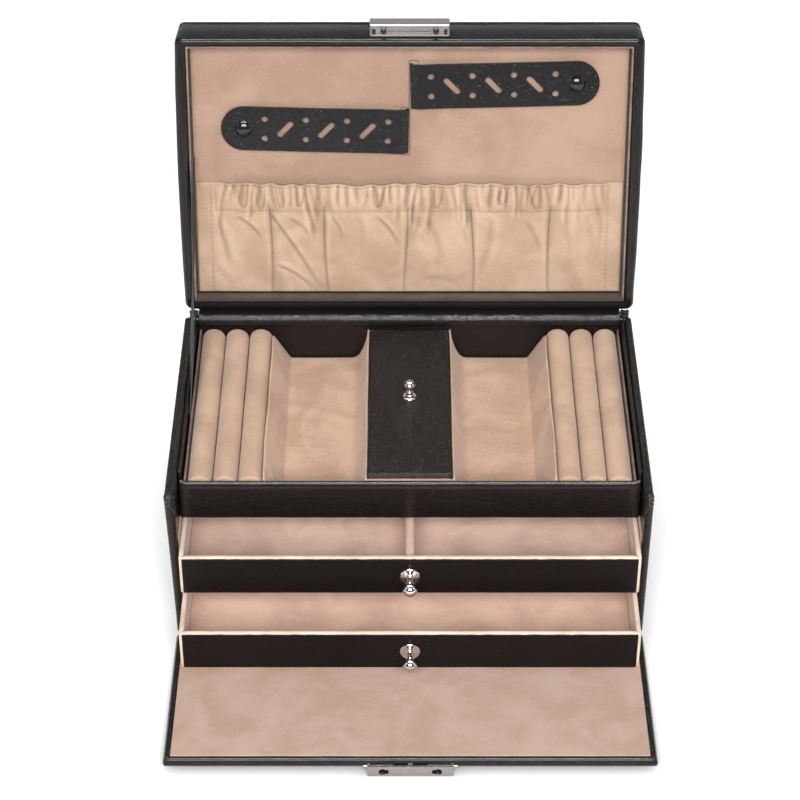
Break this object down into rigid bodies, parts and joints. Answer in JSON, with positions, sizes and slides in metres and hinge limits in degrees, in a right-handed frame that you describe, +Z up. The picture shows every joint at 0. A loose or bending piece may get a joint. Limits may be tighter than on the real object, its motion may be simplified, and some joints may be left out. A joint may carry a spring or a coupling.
{
  "type": "leather jewellery box",
  "caption": "Jewellery box covered in black leather, with a lined lid on a stay, a let-down front, pull-out drawers, ring rolls and a covered compartment.",
  "frame": {"origin": "centre of the case's underside, on the surface it stands on", "axes": "+Z up, -Y towards the front with the flap and drawers, X across the box's width"},
  "size_m": [0.2672, 0.3405, 0.2753],
  "materials": {
    "black_leather": "smooth grained leather with a soft sheen, over stiff board",
    "beige_suede": "short suede nap",
    "pocket_suede": "thin gathered suede cloth",
    "chrome": "polished",
    "satin_nickel": "satin nickel",
    "black_metal": "black enamelled press stud",
    "ribbon": "flat black ribbon",
    "elastic": "flat woven elastic",
    "board": "fibre board, hidden"
  },
  "bodies": {
    "case": {"case_base": "black_leather", "case_right_side": "black_leather", "case_left_side": "black_leather", "case_back": "black_leather", "right_bay_facing": "beige_suede", "left_bay_facing": "beige_suede", "drawer_shelf": "beige_suede", "tray_floor": "beige_suede", "tray_front_panel": "black_leather", "tray_right_wall": "black_leather", "tray_left_wall": "black_leather", "right_ring_roll_1": "beige_suede", "right_ring_roll_2": "beige_suede", "right_ring_roll_3": "beige_suede", "left_ring_roll_1": "beige_suede", "left_ring_roll_2": "beige_suede", "left_ring_roll_3": "beige_suede", "right_tray_liner": "beige_suede", "left_tray_liner": "beige_suede", "compartment_box": "beige_suede", "compartment_cover_fold": "black_leather", "lid_hinge_leather": "black_leather", "flap_hinge_leather": "black_leather"},
    "upper_drawer": {"upper_drawer_front": "black_leather", "upper_drawer_walls": "beige_suede", "upper_drawer_floor": "beige_suede", "upper_drawer_divider": "beige_suede", "upper_drawer_rosette": "chrome", "upper_drawer_knob": "chrome"},
    "lower_drawer": {"lower_drawer_front": "black_leather", "lower_drawer_walls": "beige_suede", "lower_drawer_floor": "beige_suede", "lower_drawer_rosette": "chrome", "lower_drawer_knob": "chrome"},
    "compartment_lid": {"compartment_cover": "black_leather", "compartment_knob_base": "chrome", "compartment_knob": "chrome"},
    "lid": {"lid_frame": "black_leather", "lid_top_board": "board", "lid_padding": "black_leather", "lid_edge_strip": "beige_suede", "lid_lining": "beige_suede", "elastic_pocket": "pocket_suede", "pocket_elastic": "elastic", "right_strap_root": "black_leather", "left_strap_root": "black_leather", "strap_sockets": "black_metal", "lid_lock_housing": "satin_nickel", "lid_lock_pins": "satin_nickel", "lid_stay_strap": "ribbon"},
    "right_strap": {"right_earring_strap": "black_leather", "right_strap_stud": "black_metal"},
    "left_strap": {"left_earring_strap": "black_leather", "left_strap_stud": "black_metal"},
    "front_flap": {"flap_board": "black_leather", "flap_lining": "beige_suede", "flap_lock_housing": "satin_nickel"},
    "right_catch": {"right_lock_catch": "satin_nickel"},
    "left_catch": {"left_lock_catch": "satin_nickel"}
  },
  "joints": [
    {"name": "lid_hinge", "type": "hinge", "parent": "case", "child": "lid", "pos_m": [0, 0.0835, 0.1053], "axis": [-1, 0, 0], "range_deg": [-103.8, 0], "deforming": ["lid_hinge_leather", "lid_stay_strap"]},
    {"name": "flap_hinge", "type": "hinge", "parent": "case", "child": "front_flap", "pos_m": [0, -0.0873, 0.0006], "axis": [1, 0, 0], "range_deg": [-2, 0], "deforming": ["flap_hinge_leather"]},
    {"name": "upper_drawer_slide", "type": "slide", "parent": "case", "child": "upper_drawer", "axis": [0, -1, 0], "range_m": [-0.0314, 0.03]},
    {"name": "lower_drawer_slide", "type": "slide", "parent": "case", "child": "lower_drawer", "axis": [0, -1, 0], "range_m": [-0.0558, 0.02]},
    {"name": "compartment_cover_hinge", "type": "hinge", "parent": "case", "child": "compartment_lid", "pos_m": [0, -0.0565, 0.0964], "axis": [1, 0, 0], "range_deg": [0, 95], "deforming": ["compartment_cover_fold"]},
    {"name": "right_strap_hinge", "type": "hinge", "parent": "lid", "child": "right_strap", "pos_m": [0.0006, 0.12396, 0.23521], "axis": [0.0227, -0.2385, -0.9709], "range_deg": [0, 110]},
    {"name": "left_strap_hinge", "type": "hinge", "parent": "lid", "child": "left_strap", "pos_m": [-0.0006, 0.11752, 0.20899], "axis": [0.0227, 0.2385, 0.9709], "range_deg": [0, 110]},
    {"name": "right_catch_slide", "type": "slide", "parent": "front_flap", "child": "right_catch", "axis": [-1, 0, 0], "range_m": [0, 0.0024], "stiffness_N_per_m": 200, "springref_m": -0.002},
    {"name": "left_catch_slide", "type": "slide", "parent": "front_flap", "child": "left_catch", "axis": [1, 0, 0], "range_m": [0, 0.0024], "stiffness_N_per_m": 200, "springref_m": -0.002}
  ]
}
